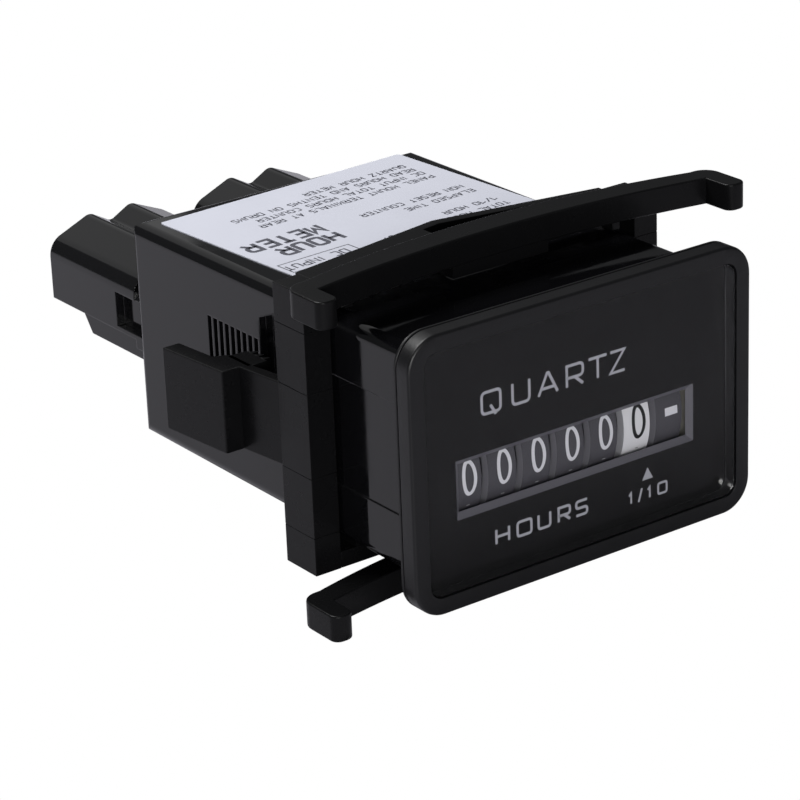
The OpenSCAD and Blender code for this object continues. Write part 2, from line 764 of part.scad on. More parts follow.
// Figure drum: rim, web, hub and a tooth ring on its right
module drum(i, tint, teeth) {
    color(tint) translate([drum_x(i), 0, 0]) difference() {
        union() {
            along_x(rim_left, ring_left) difference() {
                disc_at(drum_at, drum_r);
                disc_at(drum_at, drum_r - drum_rim_t);
            }
            along_x(ring_left - drum_web, ring_left) disc_at(drum_at, drum_r - 0.1);
            along_x(ring_left - 0.1, ring_left + ring_t) translate(drum_at)
                gear_outline(teeth, transfer_module, 0);
            along_x(rim_left, rim_left + drum_pitch - side_play) disc_at(drum_at, hub_r);
        }
        along_x(-drum_pitch, drum_pitch) disc_at(drum_at, axle_r + run_gap);
    }
}

// Transfer pinion in the gap between two drums
module pinion(i) {
    gap_left = drum_x(i) + ring_left + side_play;
    gap_right = drum_x(i + 1) + rim_left - side_play;
    color("#c9c4b4") along_x(gap_left, gap_right) difference() {
        translate(drive_at) gear_outline(pinion_teeth, transfer_module, 180 / pinion_teeth);
        disc_at(drive_at, pinion_axle_r + run_gap);
    }
}

// Drive gear: two drum pinions and the large wheel on one hollow arbor
module drive_gear() {
    tenths_x = drum_x(5) + ring_left;
    mark_x = drum_x(6) + ring_left;
    color("#e2ddcf") difference() {
        union() {
            along_x(tenths_x + side_play, zone_a + gear_t) disc_at(drive_at, sleeve_r);
            along_x(tenths_x + side_play, drum_x(6) + rim_left - side_play) translate(drive_at)
                gear_outline(pinion_teeth, transfer_module, 180 / pinion_teeth);
            along_x(mark_x + side_play, mark_x + ring_t) translate(drive_at)
                gear_outline(indicator_driver_teeth, transfer_module, 180 / indicator_driver_teeth);
            along_x(zone_a, zone_a + gear_t) translate(drive_at)
                gear_outline(wheel_teeth, train_module, second_dir);
        }
        along_x(0, in_w) disc_at(drive_at, pinion_axle_r + run_gap);
    }
}

module second_gear() {
    pinion_turn = second_dir + 180 + 180 / pinion_teeth;
    color("#e2ddcf") {
        along_x(inner_plate_x + run_gap, frame_x - run_gap) disc_at(second_at, arbor_r);
        along_x(zone_b, zone_b + gear_t) translate(second_at)
            gear_outline(rotor_wheel_teeth, train_module, rotor_dir);
        along_x(zone_b, zone_a + gear_t) disc_at(second_at, arbor_r + 0.3);
        along_x(zone_a, zone_a + gear_t) translate(second_at)
            gear_outline(pinion_teeth, train_module, pinion_turn);
    }
}

// Rotor: pinion and shaft with a disc magnet inside the stator
module rotor() {
    pinion_turn = rotor_dir + 180 + 180 / pinion_teeth;
    color("#8f9296") {
        along_x(stator_x - 0.6, frame_x - run_gap) disc_at(rotor_at, arbor_r);
        along_x(stator_x - 0.5, stator_x + stator_t + 0.5) disc_at(rotor_at, magnet_r);
        along_x(zone_b - gear_gap / 2, zone_b + gear_t + gear_gap / 2) translate(rotor_at)
            gear_outline(pinion_teeth, train_module, pinion_turn);
    }
}

// Stator: a flat plate with the rotor's hole and a core bar through the coil
module stator() {
    core_half = coil_l / 2 + bobbin_flange + stator_leg;
    color("#9a9da1") along_x(stator_x, stator_x + stator_t) difference() {
        translate(rotor_at) union() {
            translate([-core_half, -stator_hole_r - stator_edge])
                square([2 * core_half, stator_hole_r + stator_edge + stator_up]);
            for (sy = [-1, 1]) translate([sy * (core_half - stator_leg / 2), (coil_z - rotor_at[1]) / 2])
                square([stator_leg, abs(coil_z - rotor_at[1]) + core_h], center = true);
            translate([0, coil_z - rotor_at[1]]) square([2 * core_half, core_h], center = true);
        }
        disc_at(rotor_at, stator_hole_r);
    }
}

module coil_ring(y0, y1, r_out) {
    at = [stator_x + stator_t / 2, coil_z];
    along_y(rotor_at[0] + y0, rotor_at[0] + y1) translate(at) circle(r_out);
}

module coil_core_hole(gap) {
    at = [stator_x + stator_t / 2, coil_z];
    along_y(0, body_l) translate(at)
        square([stator_t + 2 * gap, core_h + 2 * gap], center = true);
}

module coil_bobbin() {
    half = coil_l / 2;
    color("#2f4d7a") difference() {
        union() {
            coil_ring(-half, half, bobbin_r);
            coil_ring(-half - bobbin_flange, -half, coil_r + bobbin_lip);
            coil_ring(half, half + bobbin_flange, coil_r + bobbin_lip);
        }
        coil_core_hole(run_gap);
    }
}

module coil_winding() {
    half = coil_l / 2 - run_gap;
    color("#b5652b") difference() {
        coil_ring(-half, half, coil_r);
        coil_ring(-coil_l, coil_l, bobbin_r + run_gap);
    }
}

module circuit_board() {
    color("#2c6b45") difference() {
        along_y(board_y, board_y + board_t) square([board_w, board_h], center = true);
        for (sx = [-1, 1]) for (sb = [-1, 1])
            translate([sx * socket_x + sb * blade_pitch / 2, 0, blade_z])
                along_y(0, body_l) square([blade_t + 0.2, tail_w + 0.2], center = true);
    }
}

module quartz_crystal() {
    color("#c6c9cc") translate([crystal_at[0], board_y - crystal_r, crystal_at[1]]) rotate([0, 90, 0])
        cylinder(h = crystal_l, r = crystal_r);
}

// Chip: a body held just off the board by two rows of legs
module driver_chip() {
    lift = 0.2;
    color("#1a1a1c") translate([chip_at[0], board_y, chip_at[1]]) {
        translate([-chip_w / 2, -lift - chip_t, -chip_h / 2]) cube([chip_w, chip_t, chip_h]);
        for (i = [-1.5 : 1.5]) for (sz = [-1, 1])
            translate([i * chip_pitch - chip_leg[0] / 2, -lift - chip_t / 2, sz * chip_h / 2 - chip_leg[1]])
                cube([chip_leg[0], lift + chip_t / 2, 2 * chip_leg[1]]);
    }
}

module capacitor() {
    color("#23304a") along_y(board_y - capacitor_l, board_y) translate(capacitor_at) circle(capacitor_r);
}

// Resistor: a body on a straight wire, with its ends bent down to the board
module resistor() {
    wire_l = resistor_l + 2 * lead_l;
    color("#c8b18a") translate([resistor_at[0], board_y - resistor_r, resistor_at[1]]) {
        rotate([0, 90, 0]) cylinder(h = resistor_l, r = resistor_r);
        translate([-lead_l, 0, 0]) rotate([0, 90, 0]) cylinder(h = wire_l, r = lead_r);
        for (x = [-lead_l, resistor_l + lead_l - 2 * lead_r])
            translate([x, -lead_r, -lead_r]) cube([2 * lead_r, resistor_r + lead_r, 2 * lead_r]);
    }
}

// Blade terminal: solder tail, a step and the blade in its socket
module terminal(sx, sb) {
    color("#c9b26a") translate([sx * socket_x + sb * blade_pitch / 2, 0, blade_z]) {
        along_y(board_y - tail_out, in_l - 1) square([blade_t, tail_w], center = true);
        along_y(in_l - 1.1, blade_end - 1) square([blade_t, blade_w], center = true);
        along_y(blade_end - 1.1, blade_end) square([blade_t * 0.6, blade_w - 1], center = true);
    }
}

bezel();
lens();
dial_plate();
housing();
label();
mounting_bracket();
counter_frame();
drum_axle();
pinion_axle();
for (i = [1 : 5]) {
    drum(i - 1, "#161617", ring_teeth);
    pinion(i - 1);
}
drum(5, "#e8e8e6", ring_teeth);  // tenths_drum
drum(6, "#161617", indicator_teeth);  // run_indicator
drive_gear();
second_gear();
rotor();
stator();
coil_bobbin();
coil_winding();
circuit_board();
quartz_crystal();
driver_chip();
capacitor();
resistor();
terminal(-1, -1);  // terminal_1
terminal(-1, 1);  // terminal_2
terminal(1, -1);  // terminal_3
terminal(1, 1);  // terminal_4
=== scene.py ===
"""Panel hour meter: finishes, printed face, drum figures, bevelled mouldings and the studio stage."""
import json
import math

import bmesh
import bpy
from bpy.props import FloatProperty, FloatVectorProperty, PointerProperty
from mathutils import Matrix, Vector


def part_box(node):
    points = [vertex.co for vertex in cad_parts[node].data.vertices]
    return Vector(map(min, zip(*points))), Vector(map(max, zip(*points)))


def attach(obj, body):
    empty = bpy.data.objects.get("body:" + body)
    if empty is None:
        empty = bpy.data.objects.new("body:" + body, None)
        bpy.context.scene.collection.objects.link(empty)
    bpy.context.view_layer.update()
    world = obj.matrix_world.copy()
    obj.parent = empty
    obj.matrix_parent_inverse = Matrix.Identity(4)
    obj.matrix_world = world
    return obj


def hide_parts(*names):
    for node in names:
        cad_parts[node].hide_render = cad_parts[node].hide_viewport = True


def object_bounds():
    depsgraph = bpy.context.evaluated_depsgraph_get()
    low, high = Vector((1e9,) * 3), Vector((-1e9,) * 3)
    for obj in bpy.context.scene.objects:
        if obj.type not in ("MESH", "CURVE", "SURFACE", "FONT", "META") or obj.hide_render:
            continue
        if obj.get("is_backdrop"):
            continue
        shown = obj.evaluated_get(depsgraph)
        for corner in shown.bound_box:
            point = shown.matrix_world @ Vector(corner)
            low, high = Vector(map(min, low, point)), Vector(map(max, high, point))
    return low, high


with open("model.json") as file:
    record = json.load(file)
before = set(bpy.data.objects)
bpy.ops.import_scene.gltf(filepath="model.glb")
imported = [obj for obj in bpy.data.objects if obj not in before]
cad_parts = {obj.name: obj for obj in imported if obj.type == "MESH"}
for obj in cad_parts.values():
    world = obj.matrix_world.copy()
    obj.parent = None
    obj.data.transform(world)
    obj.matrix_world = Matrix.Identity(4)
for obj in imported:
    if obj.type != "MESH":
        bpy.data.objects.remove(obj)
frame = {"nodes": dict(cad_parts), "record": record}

bl_info = {
    "name": "Hour meter",
    "version": (1, 0, 0),
    "blender": (4, 5, 0),
    "location": "View3D > Sidebar > Meter",
    "description": "Builds the looks of a panel hour meter around its packed CAD part",
    "category": "Object",
}

MM = 0.001
BODY = "meter"
BRACKET = "mounting_bracket_body"
DRUMS = ["hours_drum_1", "hours_drum_2", "hours_drum_3", "hours_drum_4", "hours_drum_5",
         "tenths_drum", "run_indicator"]
# Marks in a millimetre: cloudy flow marks in a moulding's gloss, a mould's grain and a satin mould's grain
CLOUD, GRAIN, SATIN = 0.14, 0.9, 2.6
# Marks in a millimetre of drawn metal, along its lines and across; real lines are finer and would not show
ALONG, ACROSS = 0.04, 2.5
# Words on the face: left and right edge of each letter, base line and cap height
LARGE_WORD = ("QUARTZ", [(-13.75, -10.75), (-9.4, -6.65), (-5.7, -2.6), (-1.6, 1.1), (1.6, 4.6), (4.8, 7.25)],
              4.85, 2.55)
SMALL_WORD = ("HOURS", [(-12.2, -10.05), (-9.15, -6.8), (-6.1, -4.05), (-3.15, -1.15), (-0.55, 1.4)], -11.4, 1.75)
TENTHS = ("1/10", [(7.4, 8.0), (8.85, 9.65), (10.25, 10.85), (11.85, 13.45)], -12.25, 1.35)
TENTHS_MARK = [(9.55, -9.85), (11.2, -9.85), (10.38, -8.35)]
# Words on the label: left edge, base line, cap height and stroke
FINE = (1.05, 0.2)
LABEL_LINES = (
    ("HOUR", 6.2, 2.4, 2.6, 0.62), ("METER", 6.2, -1.3, 2.6, 0.62), ("DC INPUT", 8.9, 8.0, 1.4, 0.24),
    ("QUARTZ TIMER", -16.2, 10.6) + FINE, ("TOTAL HOURS", -16.2, 8.4) + FINE, ("1/10 HOUR", -16.2, 6.2) + FINE,
    ("NON RESET", -3.6, 10.6) + FINE, ("DC INPUT", -3.6, 8.4) + FINE, ("ELAPSED TIME", -16.2, 1.9) + FINE,
    ("NON RESET COUNTER", -16.2, -0.3) + FINE, ("PANEL MOUNT TERMINALS AT REAR", -16.2, -6.0) + FINE,
    ("DC INPUT TOTAL HOURS COUNTER", -16.2, -7.9) + FINE, ("READ HOURS AND TENTHS ON DRUMS", -16.2, -9.8) + FINE,
    ("QUARTZ HOUR METER", -16.2, -11.7) + FINE)
LABEL_BOX = [(7.6, 7.1), (18.2, 7.1), (18.2, 10.3), (7.6, 10.3)]
# Soft lamps in metres and watts: place, point aimed at, size and power
LAMPS = {"key": ((-0.15, 0.25, 0.5), (0, 0.03, 0), (0.3, 0.3), 2.8),
         "back": ((0.03, 0.32, 0.22), (0, 0.06, 0.01), (0.28, 0.26), 0.07),
         "front": ((-0.45, -0.9, 0.22), (0, 0, 0), (0.6, 0.4), 5.5)}


class MeterFace(bpy.types.PropertyGroup):
    """Sizes of the printed face and of the label, in millimetres."""
    lens_gap: FloatProperty(name="Lens groove", description="Gap between the lens and the rim", default=0.2,
                            min=0.05, max=0.5)
    letter_stroke: FloatProperty(name="Letter stroke", description="Line width of the large word",
                                 default=0.36, min=0.1, max=1)
    small_stroke: FloatProperty(name="Small stroke", description="Line width of the small words",
                                default=0.34, min=0.1, max=1)
    figure_w: FloatProperty(name="Figure width", description="Width of a drum figure", default=2.1, min=1, max=3)
    figure_h: FloatProperty(name="Figure height", description="Height of a drum figure", default=4.35, min=3, max=6)
    figure_rise: FloatProperty(name="Figure rise", description="How far the figures sit above the axle's height",
                               default=0.58, min=0, max=1.5)
    figure_stroke: FloatProperty(name="Figure stroke", description="Line width of a drum figure",
                                 default=0.46, min=0.2, max=1)
    label_turn: FloatProperty(name="Label turn", description="Turn of the hand-laid label, in degrees", default=3.2)


class MeterFinish(bpy.types.PropertyGroup):
    """Surface finishes."""
    gloss: FloatProperty(name="Gloss roughness", description="Roughness of the black mouldings",
                         default=0.07, min=0, max=1, subtype="FACTOR")
    edge: FloatProperty(name="Edge bevel", description="Bevel on the mouldings' edges, in millimetres",
                        default=0.22, min=0.02, max=1)


class MeterStage(bpy.types.PropertyGroup):
    """Camera and lights."""
    azimuth: FloatProperty(name="Azimuth", description="Camera angle round the part, in degrees", default=-35.5028)
    elevation: FloatProperty(name="Elevation", description="Camera angle above the horizon, in degrees",
                             default=22.269)
    roll: FloatProperty(name="Roll", description="Camera roll, in degrees", default=-2.2798)
    place: FloatVectorProperty(name="Camera place", description="Camera position", size=3, unit="LENGTH",
                               default=(-0.209403, -0.259996, 0.139964))
    lens: FloatProperty(name="Lens", description="Focal length in millimetres", default=142.56)
    gloss_share: FloatProperty(name="Gloss share", description="Share of the white background that gloss shows",
                               default=0.04, min=0, max=1, subtype="FACTOR")


class MeterSettings(bpy.types.PropertyGroup):
    """All the settings of the meter."""
    face: PointerProperty(type=MeterFace)
    finish: PointerProperty(type=MeterFinish)
    stage: PointerProperty(type=MeterStage)


def linear(code):
    """sRGB hex colour as linear RGBA."""
    parts = [int(code[i:i + 2], 16) / 255 for i in (1, 3, 5)]
    return tuple(c / 12.92 if c <= 0.04045 else ((c + 0.055) / 1.055) ** 2.4 for c in parts) + (1.0,)


def add(tree, kind, inputs=(), **settings):
    """One shader node with its settings, and values or links on its inputs."""
    made = tree.nodes.new("ShaderNode" + kind)
    for key, value in settings.items():
        setattr(made, key, value)
    for key, value in dict(inputs).items():
        if isinstance(value, bpy.types.NodeSocket):
            tree.links.new(value, made.inputs[key])
        else:
            made.inputs[key].default_value = value
    return made


def start(name):
    """A new node material: its tree and its output node."""
    made = bpy.data.materials.new(name)
    made.use_nodes = True
    made.node_tree.nodes.clear()
    return made, made.node_tree, add(made.node_tree, "OutputMaterial")


def moulded(name, colour, rough, grain=0.0, marks=GRAIN, spread=0.05, bevel=0.0, shine=0.5):
    """A moulded plastic: one colour, slightly uneven gloss, and a fine grain."""
    made, tree, out = start(name)
    where = add(tree, "TexCoord").outputs["Object"]
    cloud = add(tree, "TexNoise", {"Vector": where, "Scale": CLOUD / MM, "Detail": 4.0, "Roughness": 0.6})
    gloss = add(tree, "MapRange", {"Value": cloud.outputs["Fac"], "From Min": 0.3, "From Max": 0.7,
                                   "To Min": max(0.0, rough - spread), "To Max": rough + spread})
    shader = add(tree, "BsdfPrincipled", {"Base Color": linear(colour), "Roughness": gloss.outputs["Result"],
                                          "Specular IOR Level": shine})
    normal = None
    if bevel:
        normal = add(tree, "Bevel", {"Radius": bevel * MM}, samples=6).outputs["Normal"]
    if grain:
        fine = add(tree, "TexNoise", {"Vector": where, "Scale": marks / MM, "Detail": 3.0})
        bump = add(tree, "Bump", {"Strength": grain, "Distance": 0.04 * MM, "Height": fine.outputs["Fac"]})
        if normal is not None:
            tree.links.new(normal, bump.inputs["Normal"])
        normal = bump.outputs["Normal"]
    if normal is not None:
        tree.links.new(normal, shader.inputs["Normal"])
    tree.links.new(shader.outputs["BSDF"], out.inputs["Surface"])
    return made


def metal(name, colour, rough, spread=0.08):
    """A drawn or stamped metal with fine lines along X."""
    made, tree, out = start(name)
    where = add(tree, "TexCoord").outputs["Object"]
    stretched = add(tree, "Mapping", {"Vector": where, "Scale": (ALONG / MM, ACROSS / MM, ACROSS / MM)})
    lines = add(tree, "TexNoise", {"Vector": stretched.outputs["Vector"], "Scale": 1.0, "Detail": 2.0})
    gloss = add(tree, "MapRange", {"Value": lines.outputs["Fac"], "To Min": rough - spread,
                                   "To Max": rough + spread})
    shader = add(tree, "BsdfPrincipled", {"Base Color": linear(colour), "Metallic": 1.0,
                                          "Roughness": gloss.outputs["Result"]})
    tree.links.new(shader.outputs["BSDF"], out.inputs["Surface"])
    return made


def clear(name):
    """Clear polished acrylic: a faint reflection in front, and side walls that mirror all light from inside."""
    made, tree, out = start(name)
    white = linear("#ffffff")
    through = add(tree, "BsdfTransparent", {"Color": white})
    shine = add(tree, "BsdfGlossy", {"Color": white, "Roughness": 0.08})
    amount = add(tree, "Fresnel", {"IOR": 1.1}).outputs["Fac"]
    surface = add(tree, "NewGeometry").outputs
    facing = add(tree, "SeparateXYZ", {"Vector": surface["Normal"]}).outputs["Y"]
    steep = add(tree, "Math", {0: facing}, operation="ABSOLUTE").outputs["Value"]
    wall = add(tree, "Math", {0: steep, 1: 0.5}, operation="LESS_THAN").outputs["Value"]
    shown = add(tree, "MixRGB", {"Fac": surface["Backfacing"], "Color1": amount, "Color2": wall})
    both = add(tree, "MixShader", {"Fac": shown.outputs["Color"]})
    tree.links.new(through.outputs["BSDF"], both.inputs[1])
    tree.links.new(shine.outputs["BSDF"], both.inputs[2])
    tree.links.new(both.outputs["Shader"], out.inputs["Surface"])
    return made


def drum(name, rim, ring):
    """Drum plastic: the rim's colour on the outside, and the ring's colour, as painted light, on all that lies
    deeper: paler on the dark drums to lift the shade that falls between them, darker on the white drum.
    """
    made = moulded(name, rim, 0.5)
    tree = made.node_tree
    skin = 0.06
    axle, radius = middle("drum_axle")[0] * MM, middle("tenths_drum")[1].y * MM
    where = add(tree, "TexCoord").outputs["Object"]
    off = add(tree, "VectorMath", {0: where, 1: axle}, operation="SUBTRACT").outputs["Vector"]
    flat = add(tree, "VectorMath", {0: off, 1: (0.0, 1.0, 1.0)}, operation="MULTIPLY").outputs["Vector"]
    length = add(tree, "VectorMath", {0: flat}, operation="LENGTH").outputs["Value"]
    # painted light: all that lies deeper than the rim takes the ring's tone, paler on the dark drums to lift the
    # shade there
    painted_light_mask = add(tree, "Math", {0: length, 1: radius - skin * MM}, operation="LESS_THAN").outputs["Value"]
    painted_light_tone = add(tree, "MixRGB", {"Fac": painted_light_mask, "Color1": linear(rim), "Color2": linear(ring)})
    tree.links.new(painted_light_tone.outputs["Color"], tree.nodes["Principled BSDF"].inputs["Base Color"])
    return made


def rounded(w, h, r, steps=14):
    """Outline of a rounded rectangle round the origin, counter-clockwise."""
    points = []
    for cx, cy, a in ((w / 2 - r, h / 2 - r, 0), (r - w / 2, h / 2 - r, 90),
                      (r - w / 2, r - h / 2, 180), (w / 2 - r, r - h / 2, 270)):
        points += arc(cx, cy, r, r, a, a + 90, steps)
    return points


def arc(cx, cy, rx, ry, a0, a1, steps):
    """Points along an elliptic arc, both ends included."""
    return [(cx + rx * math.cos(math.radians(a0 + (a1 - a0) * i / steps)),
             cy + ry * math.sin(math.radians(a0 + (a1 - a0) * i / steps))) for i in range(steps + 1)]


def plan(z):
    """Places outline points at a height, seen from above."""
    return lambda u, v: Vector((u, v, z)) * MM


def front(y):
    """Places outline points at a depth, seen from the front."""
    return lambda u, v: Vector((u, y, v)) * MM


def solid(bm, loops, put, travel, bevel=0.0, segments=2, sharp=28, inside=None):
    """Adds an outline with holes, extruded along travel; its sharp outer edges are bevelled, the holes' by inside."""
    made = bmesh.new()
    hole = made.verts.layers.int.new("hole")
    edges = []
    for k, loop in enumerate(loops):
        verts = [made.verts.new(put(u, v)) for u, v in loop]
        for vert in verts:
            vert[hole] = k
        edges += [made.edges.new((verts[i - 1], verts[i])) for i in range(len(verts))]
    if len(loops) == 1:
        made.faces.new(made.verts[:])
    else:
        bmesh.ops.triangle_fill(made, use_beauty=True, use_dissolve=False, edges=edges)
    grown = bmesh.ops.extrude_face_region(made, geom=made.faces[:])
    moved = [g for g in grown["geom"] if isinstance(g, bmesh.types.BMVert)]
    bmesh.ops.translate(made, verts=moved, vec=Vector(travel) * MM)
    bmesh.ops.recalc_face_normals(made, faces=made.faces[:])
    if bevel:
        picked = [e for e in made.edges if len(e.link_faces) == 2 and e.is_convex
                  and e.calc_face_angle() > math.radians(sharp)]
        inner = [e for e in picked if e.verts[0][hole]]
        outer = [e for e in picked if not e.verts[0][hole]]
        for chosen, width in ((outer, bevel), (inner, inside or bevel)):
            bmesh.ops.bevel(made, geom=chosen, offset=width * MM, offset_type="OFFSET", segments=segments,
                            profile=0.5, affect="EDGES", clamp_overlap=True, material=-1)
    made.verts.layers.int.remove(hole)
    kept = bpy.data.meshes.new("solid")
    made.to_mesh(kept)
    made.free()
    bm.from_mesh(kept)
    bpy.data.meshes.remove(kept)


def block(bm, low, high, bevel=0.0, segments=2):
    """Adds a box between two corners, in millimetres."""
    loop = [(low[0], low[1]), (high[0], low[1]), (high[0], high[1]), (low[0], high[1])]
    solid(bm, [loop], plan(low[2]), (0, 0, high[2] - low[2]), bevel, segments)


def ribbon(bm, points, width, put, closed=False):
    """Adds a flat line of constant width along points, with mitred corners."""
    count = len(points)
    pts = [Vector(p) for p in points]
    left, right = [], []
    for i, p in enumerate(pts):
        before = pts[i - 1] if (i or closed) else None
        after = pts[(i + 1) % count] if (i < count - 1 or closed) else None
        d0 = (p - before).normalized() if before is not None else (after - p).normalized()
        d1 = (after - p).normalized() if after is not None else d0
        n0, n1 = Vector((-d0.y, d0.x)), Vector((-d1.y, d1.x))
        mid = (n0 + n1).normalized() if (n0 + n1).length > 1e-6 else n0
        reach = width / 2 / max(0.5, mid.dot(n0))
        left.append(bm.verts.new(put(*(p + mid * reach))))
        right.append(bm.verts.new(put(*(p - mid * reach))))
    for i in range(count if closed else count - 1):
        j = (i + 1) % count
        bm.faces.new((left[i], right[i], right[j], left[j]))


def finish_piece(name, bm, material, body, replaces=(), flat=False):
    """Turns a bmesh into a piece that rides on a body."""
    mesh = bpy.data.meshes.new(name)
    bm.to_mesh(mesh)
    bm.free()
    mesh.materials.append(material)
    made = bpy.data.objects.new(name, mesh)
    bpy.context.scene.collection.objects.link(made)
    if not flat:
        for face in mesh.polygons:
            face.use_smooth = True
        mesh.set_sharp_from_angle(angle=math.radians(40))
        weighted = made.modifiers.new("normals", "WEIGHTED_NORMAL")
        weighted.keep_sharp = True
    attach(made, body)
    if replaces:
        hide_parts(*replaces)
    return made


def material(name):
    """A finish that METER_OT_finishes has made."""
    return bpy.data.materials[name]


def middle(node):
    """Middle and half size of a CAD node's box, in millimetres."""
    low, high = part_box(node)
    return (low + high) / 2 / MM, (high - low) / 2 / MM


def glyph(char, w):
    """Strokes of a wide square letter with cap height 1: lists of points and whether they close."""
    r = 0.2
    if char in "OQ0":
        ring = [(x + w / 2, y + 0.5) for x, y in rounded(w, 1, r, 6)]
        tail = [([(0.46 * w, 0.36), (0.74 * w, -0.14)], False)] if char == "Q" else []
        return [(ring[:-1], True)] + tail
    if char == "U":
        return [([(0, 1)] + arc(r, r, r, r, 180, 270, 6) + arc(w - r, r, r, r, 270, 360, 6) + [(w, 1)], False)]
    if char == "A":
        return [([(0, 0), (0.46 * w, 1), (0.54 * w, 1), (w, 0)], False), ([(0.2 * w, 0.3), (0.8 * w, 0.3)], False)]
    if char == "R":
        bowl = [(0, 0), (0, 1)] + arc(w - r, 1 - r, r, r, 90, 0, 6) + arc(w - r, 0.42 + r, r, r, 0, -90, 6)
        return [(bowl + [(0, 0.42)], False), ([(0.48 * w, 0.42), (w, 0)], False)]
    if char == "T":
        return [([(0, 1), (w, 1)], False), ([(w / 2, 1), (w / 2, 0)], False)]
    if char == "Z":
        return [([(0, 1), (w, 1), (0, 0), (w, 0)], False)]
    if char == "H":
        return [([(0, 0), (0, 1)], False), ([(w, 0), (w, 1)], False), ([(0, 0.5), (w, 0.5)], False)]
    if char == "S":
        top = [(w, 1)] + arc(r, 1 - r, r, r, 90, 180, 5) + arc(r, 0.5 + r, r, r, 180, 270, 5)
        low = arc(w - r, 0.5 - r, r, r, 90, 0, 5) + arc(w - r, r, r, r, 0, -90, 5) + [(0, 0)]
        return [(top + low, False)]
    if char == "1":
        return [([(0, 0.74), (w, 1), (w, 0)], False)]
    if char in "DC":
        bowl = arc(w - r, 1 - r, r, r, 90, 0, 5) + arc(w - r, r, r, r, 0, -90, 5)
        if char == "D":
            return [([(0, 0), (0, 1)] + bowl, True)]
        return [([(w - x, y) for x, y in [(0, 1)] + bowl + [(0, 0)]], False)]
    if char == "E":
        return [([(w, 1), (0, 1), (0, 0), (w, 0)], False), ([(0, 0.5), (0.85 * w, 0.5)], False)]
    if char == "I":
        return [([(w / 2, 0), (w / 2, 1)], False)]
    if char == "L":
        return [([(0, 1), (0, 0), (w, 0)], False)]
    if char == "M":
        return [([(0, 0), (0, 1), (w / 2, 0.35), (w, 1), (w, 0)], False)]
    if char == "N":
        return [([(0, 0), (0, 1), (w, 0), (w, 1)], False)]
    if char == "P":
        bowl = arc(w - r, 1 - r, r, r, 90, 0, 5) + arc(w - r, 0.45 + r, r, r, 0, -90, 5)
        return [([(0, 0), (0, 1)] + bowl + [(0, 0.45)], False)]
    if char == " ":
        return []
    return [([(0, -0.1), (w, 1.1)], False)]


def figure(char):
    """Strokes of a tall drum figure in a box 1 wide and 1 high round the origin."""
    h = 0.5
    if char == "0":
        return [(arc(0, 0, h, h, 0, 360, 40)[:-1], True)]
    if char == "1":
        return [([(0, h), (0, -h)], False)]
    if char == "2":
        return [(arc(0, 0.22, h, 0.28, 165, -25, 16) + [(-h, -h), (h, -h)], False)]
    if char == "3":
        return [(arc(0, 0.26, 0.46, 0.24, 150, -90, 16) + arc(0, -0.24, h, 0.26, 90, -155, 18), False)]
    if char == "4":
        return [([(0.22, -h), (0.22, h), (-h, -0.2), (h, -0.2)], False)]
    if char == "5":
        return [([(0.44, h), (-0.38, h), (-0.44, 0.06)] + arc(0, -0.2, h, 0.3, 110, -155, 18), False)]
    if char == "6":
        return [(arc(0, -0.2, h, 0.3, 0, 360, 28)[:-1], True), (arc(0.3, -0.2, 0.8, 0.7, 180, 100, 12), False)]
    if char == "7":
        return [([(-h, h), (h, h), (-0.12, -h)], False)]
    if char == "8":
        return [(arc(0, 0.26, 0.42, 0.24, 0, 360, 26)[:-1], True), (arc(0, -0.24, h, 0.26, 0, 360, 28)[:-1], True)]
    return [(arc(0, 0.2, h, 0.3, 0, 360, 28)[:-1], True), (arc(-0.3, 0.2, 0.8, 0.7, 0, -80, 12), False)]


